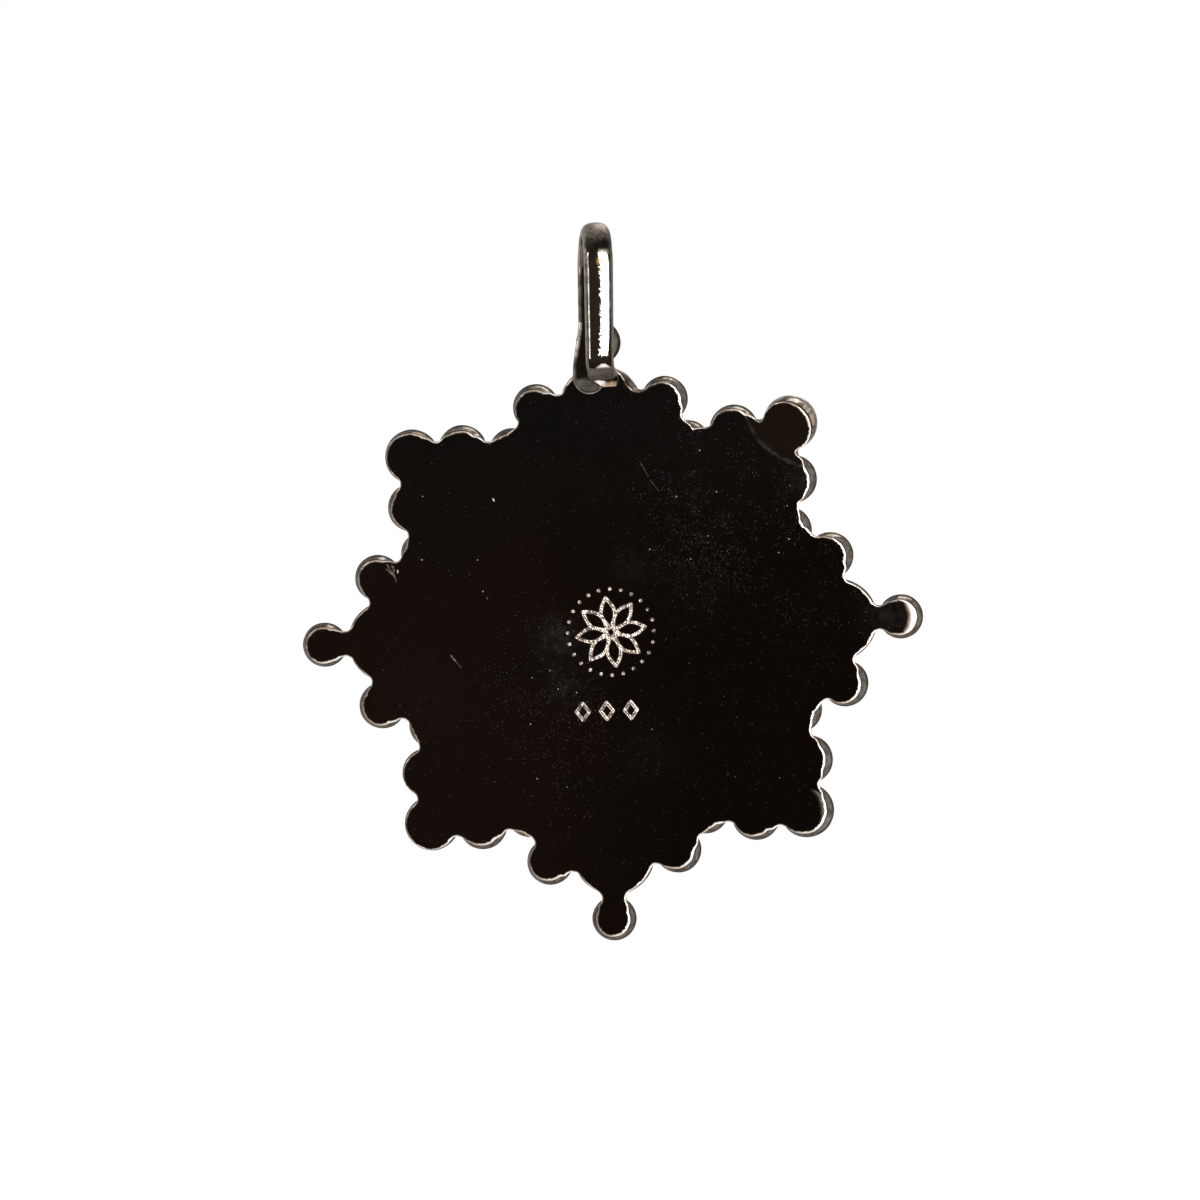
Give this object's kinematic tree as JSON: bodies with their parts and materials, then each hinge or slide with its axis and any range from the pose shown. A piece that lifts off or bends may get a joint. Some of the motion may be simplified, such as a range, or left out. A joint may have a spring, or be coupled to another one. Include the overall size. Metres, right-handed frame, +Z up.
{
  "type": "medal pendant",
  "caption": "Eight-pointed devotional medal pendant with a flat polished back, beaded edge, round medal front and a fixed strap bail.",
  "frame": {"origin": "where a chain bears, at the top of the bail's opening, midway between its two legs", "axes": "+Z up through the bail as the pendant hangs, -Y out of the flat back, +Y out of the decorated front"},
  "size_m": [0.0498, 0.01, 0.0573],
  "materials": {
    "blackened_back": "mirror-polished and blackened, with fine scratches and specks",
    "bead_silver": "polished silver with dark patina in the seams",
    "ring_silver": "polished silver with dark patina in the recesses",
    "medal_silver": "aged silver, bright on the relief and dark in the field",
    "bail_silver": "polished silver with fine lengthwise file marks"
  },
  "bodies": {
    "root": {"arm_bead_east_a": "bead_silver", "arm_bead_east_b": "bead_silver", "arm_bead_north_a": "bead_silver", "arm_bead_north_b": "bead_silver", "arm_bead_south_a": "bead_silver", "arm_bead_south_b": "bead_silver", "arm_bead_west_a": "bead_silver", "arm_bead_west_b": "bead_silver", "arm_boss_east": "bead_silver", "arm_boss_north": "bead_silver", "arm_boss_south": "bead_silver", "arm_boss_west": "bead_silver", "back_plate": "blackened_back", "bail": "bail_silver", "bezel": "ring_silver", "corner_ball_ne": "bead_silver", "corner_ball_nw": "bead_silver", "corner_ball_se": "bead_silver", "corner_ball_sw": "bead_silver", "corner_bead_ne_a": "bead_silver", "corner_bead_ne_b": "bead_silver", "corner_bead_nw_a": "bead_silver", "corner_bead_nw_b": "bead_silver", "corner_bead_se_a": "bead_silver", "corner_bead_se_b": "bead_silver", "corner_bead_sw_a": "bead_silver", "corner_bead_sw_b": "bead_silver", "corner_boss_ne": "bead_silver", "corner_boss_nw": "bead_silver", "corner_boss_se": "bead_silver", "corner_boss_sw": "bead_silver", "medal": "medal_silver", "pocket_bead_east_ne": "bead_silver", "pocket_bead_east_se": "bead_silver", "pocket_bead_north_ne": "bead_silver", "pocket_bead_north_nw": "bead_silver", "pocket_bead_south_se": "bead_silver", "pocket_bead_south_sw": "bead_silver", "pocket_bead_west_nw": "bead_silver", "pocket_bead_west_sw": "bead_silver", "rope_ring": "ring_silver", "tip_ball_east": "bead_silver", "tip_ball_north": "bead_silver", "tip_ball_south": "bead_silver", "tip_ball_west": "bead_silver"}
  },
  "joints": []
}
